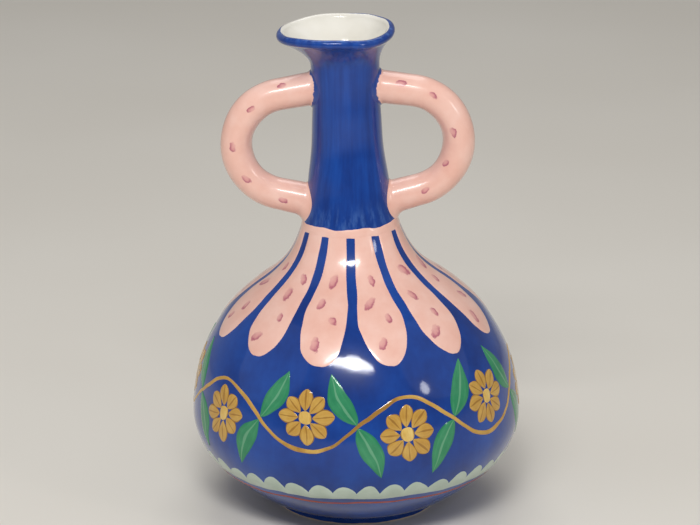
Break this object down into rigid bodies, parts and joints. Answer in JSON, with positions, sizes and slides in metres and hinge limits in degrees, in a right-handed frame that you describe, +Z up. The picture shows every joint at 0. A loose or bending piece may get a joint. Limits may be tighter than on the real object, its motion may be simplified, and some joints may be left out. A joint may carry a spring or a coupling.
{
  "type": "ceramic vase",
  "caption": "Round-bellied glazed ceramic vase with a tall leaning neck, a flared mouth pulled to a pouring lip, and loop handles on both sides of the neck.",
  "frame": {"origin": "centre of the foot ring, on the surface that the vase stands on", "axes": "+Z up; -X towards the pouring lip; the handles lie in the XZ plane; -Y is the front"},
  "size_m": [0.198, 0.198, 0.298],
  "materials": {
    "cobalt_glaze": "glossy cobalt glaze, brushed on",
    "pink_glaze": "glossy pale pink glaze with rose brush dabs",
    "bare_clay": "wiped bare fired clay"
  },
  "bodies": {
    "root": {"foot_ring": "bare_clay", "lower_bowl": "cobalt_glaze", "upper_dome": "cobalt_glaze", "neck": "cobalt_glaze", "mouth_flare": "cobalt_glaze", "rim_coil": "cobalt_glaze", "left_handle": "pink_glaze", "right_handle": "pink_glaze", "left_upper_luting": "pink_glaze", "left_lower_luting": "pink_glaze", "right_upper_luting": "pink_glaze", "right_lower_luting": "pink_glaze"}
  },
  "joints": []
}
